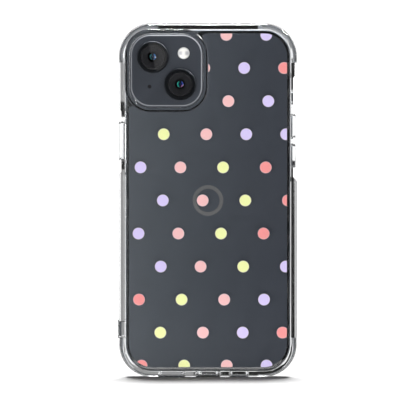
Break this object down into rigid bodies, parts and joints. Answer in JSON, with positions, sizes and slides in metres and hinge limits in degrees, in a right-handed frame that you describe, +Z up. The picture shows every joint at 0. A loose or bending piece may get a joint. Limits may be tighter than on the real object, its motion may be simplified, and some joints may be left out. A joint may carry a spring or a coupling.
{
  "type": "smartphone in a clear protective case",
  "caption": "Smartphone with a raised camera island, button covers and a clear soft-edged case printed with pastel dots; it slides out of the case and its buttons press.",
  "frame": {"origin": "middle of the bottom edge that the cased phone stands on, midway through its whole thickness", "axes": "+Z up along the phone's length, +Y out of the screen, so the back and its cameras face -Y, and +X towards the volume buttons"},
  "size_m": [0.0775, 0.0126, 0.153],
  "materials": {
    "clear_soft": "gloss",
    "clear_hard": "gloss",
    "white_ink": "satin",
    "lavender_ink": "satin",
    "pink_ink": "satin",
    "yellow_ink": "satin",
    "coral_ink": "satin",
    "dark_aluminium": "satin",
    "antenna_plastic": "satin",
    "back_glass": "satin",
    "emblem": "gloss",
    "lens_glass": "gloss",
    "lens_black": "matte",
    "camera_steel": "satin",
    "sensor": "gloss",
    "flash_lens": "gloss",
    "flash_led": "matte",
    "switch_metal": "satin",
    "front_glass": "gloss",
    "display": "gloss",
    "seal": "matte",
    "earpiece": "satin",
    "cone": "satin",
    "copper": "satin",
    "magnets": "satin",
    "battery": "satin",
    "flex": "satin",
    "board": "satin",
    "chips": "matte"
  },
  "bodies": {
    "case": {"case_bumper": "clear_soft", "case_back_panel": "clear_hard", "print_white_base": "white_ink", "print_lavender_dots": "lavender_ink", "print_pink_dots": "pink_ink", "print_yellow_dots": "yellow_ink", "print_coral_dots": "coral_ink"},
    "phone": {"antenna_bands": "antenna_plastic", "back_emblem": "emblem", "back_glass": "back_glass", "battery": "battery", "battery_flex": "flex", "board_chips": "chips", "board_screws": "camera_steel", "board_shields": "camera_steel", "bottom_microphone": "lens_black", "bottom_screws": "camera_steel", "button_contacts": "camera_steel", "charging_coil": "copper", "charging_magnets": "magnets", "chassis": "dark_aluminium", "display_flex": "flex", "display_panel": "display", "earpiece_mesh": "lens_black", "earpiece_speaker": "earpiece", "flash_led": "flash_led", "flash_lens": "flash_lens", "front_camera": "lens_black", "front_camera_lens": "lens_glass", "front_glass": "front_glass", "haptic_housing": "camera_steel", "logic_board": "board", "loudspeaker_box": "earpiece", "main_camera_bezel": "dark_aluminium", "main_camera_cover_glass": "lens_glass", "main_camera_housing": "camera_steel", "main_camera_sensor": "sensor", "rear_microphone": "lens_black", "ring_switch_base": "camera_steel", "screen_seal": "seal", "ultrawide_camera_bezel": "dark_aluminium", "ultrawide_camera_cover_glass": "lens_glass", "ultrawide_camera_housing": "camera_steel", "ultrawide_camera_sensor": "sensor", "ultrawide_front_lens": "lens_glass", "ultrawide_lens_barrel": "lens_black", "usb_c_shell": "camera_steel", "usb_c_tongue": "earpiece"},
    "volume_up_cover": {"volume_up_cover": "clear_soft"},
    "volume_down_cover": {"volume_down_cover": "clear_soft"},
    "side_button_cover": {"side_button_cover": "clear_soft"},
    "volume_up_button": {"volume_up_button": "dark_aluminium"},
    "volume_down_button": {"volume_down_button": "dark_aluminium"},
    "side_button": {"side_button": "dark_aluminium"},
    "ring_switch": {"ring_switch": "switch_metal"},
    "main_lens": {"main_lens_barrel": "lens_black", "main_front_lens": "lens_glass"},
    "haptic_mass": {"haptic_mass": "magnets"},
    "loudspeaker_cone": {"loudspeaker_cone": "cone"}
  },
  "joints": [
    {"name": "phone_release", "type": "slide", "parent": "case", "child": "phone", "axis": [0, 1, 0], "range_m": [0, 0.03], "deforming": ["case_bumper"]},
    {"name": "volume_up_press", "type": "slide", "parent": "phone", "child": "volume_up_button", "axis": [-1, 0, 0], "range_m": [0, 0.0003], "stiffness_N_per_m": 120},
    {"name": "volume_down_press", "type": "slide", "parent": "phone", "child": "volume_down_button", "axis": [-1, 0, 0], "range_m": [0, 0.0003], "stiffness_N_per_m": 120},
    {"name": "side_button_press", "type": "slide", "parent": "phone", "child": "side_button", "axis": [1, 0, 0], "range_m": [0, 0.0003], "stiffness_N_per_m": 120},
    {"name": "volume_up_cover_press", "type": "slide", "parent": "case", "child": "volume_up_cover", "axis": [-1, 0, 0], "range_m": [0, 0.0003], "stiffness_N_per_m": 60},
    {"name": "volume_down_cover_press", "type": "slide", "parent": "case", "child": "volume_down_cover", "axis": [-1, 0, 0], "range_m": [0, 0.0003], "stiffness_N_per_m": 60},
    {"name": "side_button_cover_press", "type": "slide", "parent": "case", "child": "side_button_cover", "axis": [1, 0, 0], "range_m": [0, 0.0003], "stiffness_N_per_m": 60},
    {"name": "ring_switch_slide", "type": "slide", "parent": "phone", "child": "ring_switch", "axis": [0, -1, 0], "range_m": [0, 0.0012]},
    {"name": "main_focus", "type": "slide", "parent": "phone", "child": "main_lens", "axis": [0, -1, 0], "range_m": [0, 0.0003], "stiffness_N_per_m": 100},
    {"name": "haptic_swing", "type": "slide", "parent": "phone", "child": "haptic_mass", "axis": [1, 0, 0], "range_m": [-0.0005, 0.0005], "stiffness_N_per_m": 400},
    {"name": "cone_swing", "type": "slide", "parent": "phone", "child": "loudspeaker_cone", "axis": [0, 1, 0], "range_m": [-0.00025, 0.00025], "stiffness_N_per_m": 60}
  ],
  "couplings": [
    {"joint": "volume_up_cover_press", "follows": "volume_up_press", "ratio": 1},
    {"joint": "volume_down_cover_press", "follows": "volume_down_press", "ratio": 1},
    {"joint": "side_button_cover_press", "follows": "side_button_press", "ratio": 1}
  ]
}
